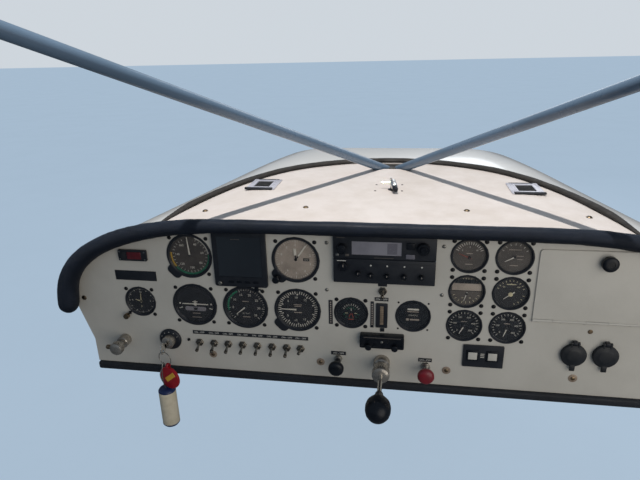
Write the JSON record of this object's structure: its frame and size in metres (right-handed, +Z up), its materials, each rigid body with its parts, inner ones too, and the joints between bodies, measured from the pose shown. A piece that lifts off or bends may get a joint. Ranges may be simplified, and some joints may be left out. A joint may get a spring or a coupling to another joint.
{
  "type": "light aircraft cockpit front with instrument panel",
  "caption": "Cockpit front of a light floatplane: instrument panel with padded coaming, glareshield deck, windscreen seal, boot cowl top and V-brace tubes.",
  "frame": {"origin": "middle of the flat pad of the brace foot, on the centre line, where the front of the assembly bolts on", "axes": "+X to the right of a pilot facing the panel, +Y forward, +Z up; the panel face is the plane y = -0.476 m"},
  "size_m": [1.125, 1.0196, 0.7055],
  "materials": {
    "panel_paint": "satin",
    "deck_paint": "matte, slightly textured",
    "cowl_paint": "gloss",
    "tube_paint": "gloss",
    "dark_vinyl": "grained vinyl over foam",
    "seal_rubber": "matte",
    "black_plastic": "satin",
    "red_plastic": "gloss",
    "bright_metal": "polished",
    "plain_steel": "satin",
    "bare_aluminium": "satin",
    "foam": "matte"
  },
  "bodies": {
    "root": {"panel_plate": "panel_paint", "coaming_roll": "dark_vinyl", "lower_trim": "dark_vinyl", "side_bracket_left": "plain_steel", "side_bracket_right": "plain_steel", "map_display": "black_plastic", "radio_upper": "black_plastic", "radio_lower": "black_plastic", "warning_light": "black_plastic", "flap_indicator": "black_plastic", "intercom_box": "black_plastic", "button_plate": "black_plastic", "toggle_switches": "bright_metal", "centre_toggle": "bright_metal", "throttle": "bright_metal", "mixture_control": "red_plastic", "carb_heat_control": "black_plastic", "primer": "bright_metal", "ignition_switch": "black_plastic", "ignition_key": "bright_metal", "key_ring": "plain_steel", "key_tag": "red_plastic", "key_float": "foam", "power_socket_left": "black_plastic", "power_socket_right": "black_plastic", "glovebox_hinge_pin": "plain_steel", "glovebox_bin": "bare_aluminium", "deck": "deck_paint", "boot_cowl": "cowl_paint", "windscreen_seal": "seal_rubber", "brace_tube_left": "tube_paint", "brace_tube_right": "tube_paint", "brace_foot": "plain_steel", "cross_tube": "tube_paint", "deck_vent_left": "black_plastic", "deck_vent_right": "black_plastic", "ball_mount": "plain_steel", "airspeed_indicator": "black_plastic", "altimeter": "black_plastic", "turn_coordinator": "black_plastic", "tachometer": "black_plastic", "climb_indicator": "black_plastic", "clock": "black_plastic", "trim_gauge": "black_plastic", "hour_meter": "black_plastic", "engine_gauge_1": "black_plastic", "engine_gauge_2": "black_plastic", "engine_gauge_3": "black_plastic", "engine_gauge_4": "black_plastic", "engine_gauge_5": "black_plastic", "engine_gauge_6": "black_plastic"},
    "glovebox_door": {"glovebox_door": "panel_paint", "glovebox_knob": "black_plastic"},
    "socket_lid_left": {"socket_lid_left": "black_plastic"},
    "socket_lid_right": {"socket_lid_right": "black_plastic"}
  },
  "joints": [
    {"name": "glovebox_hinge", "type": "hinge", "parent": "root", "child": "glovebox_door", "pos_m": [0.3236, -0.4783, -0.1148], "axis": [1, 0, 0], "range_deg": [0, 90]},
    {"name": "lid_hinge_left", "type": "hinge", "parent": "root", "child": "socket_lid_left", "pos_m": [0.2966, -0.4814, -0.1499], "axis": [-1, 0, 0], "range_deg": [0, 100]},
    {"name": "lid_hinge_right", "type": "hinge", "parent": "root", "child": "socket_lid_right", "pos_m": [0.3431, -0.4814, -0.1487], "axis": [-1, 0, 0], "range_deg": [0, 100]}
  ]
}
